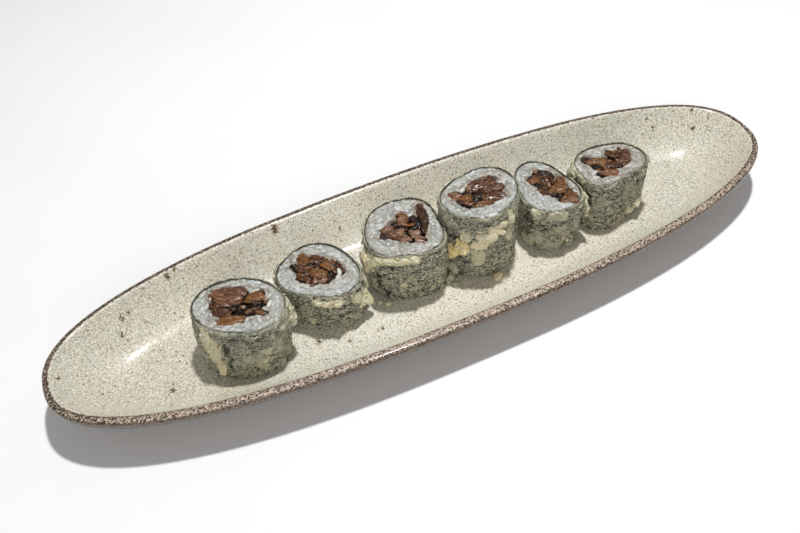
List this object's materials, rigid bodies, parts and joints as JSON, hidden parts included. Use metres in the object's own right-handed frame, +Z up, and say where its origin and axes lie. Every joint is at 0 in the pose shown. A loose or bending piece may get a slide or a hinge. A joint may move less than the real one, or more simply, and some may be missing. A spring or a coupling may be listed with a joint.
{
  "type": "plate of maki sushi rolls",
  "caption": "Fried maki rolls with mushroom filling, standing in a row on a long oval speckled stoneware plate.",
  "frame": {"origin": "middle of the plate's flat foot, on the surface it stands on", "axes": "+Z up, +X along the plate towards the thin flattened roll at the end of the row, +Y across the plate"},
  "size_m": [0.36, 0.106, 0.0452],
  "materials": {
    "glaze": "glossy cream glaze with brown iron specks and an iron-brown rim",
    "wrap": "dark seaweed under a thin oily film of fried batter, with pale batter crags",
    "rice": "moist pressed white rice",
    "filling": "glossy cooked mushroom strips in dark sauce"
  },
  "bodies": {
    "root": {"plate": "glaze", "roll_1_wrap": "wrap", "roll_1_rice": "rice", "roll_1_filling": "filling", "roll_2_wrap": "wrap", "roll_2_rice": "rice", "roll_2_filling": "filling", "roll_3_wrap": "wrap", "roll_3_rice": "rice", "roll_3_filling": "filling", "roll_4_wrap": "wrap", "roll_4_rice": "rice", "roll_4_filling": "filling", "roll_5_wrap": "wrap", "roll_5_rice": "rice", "roll_5_filling": "filling", "roll_6_wrap": "wrap", "roll_6_rice": "rice", "roll_6_filling": "filling"}
  },
  "joints": []
}
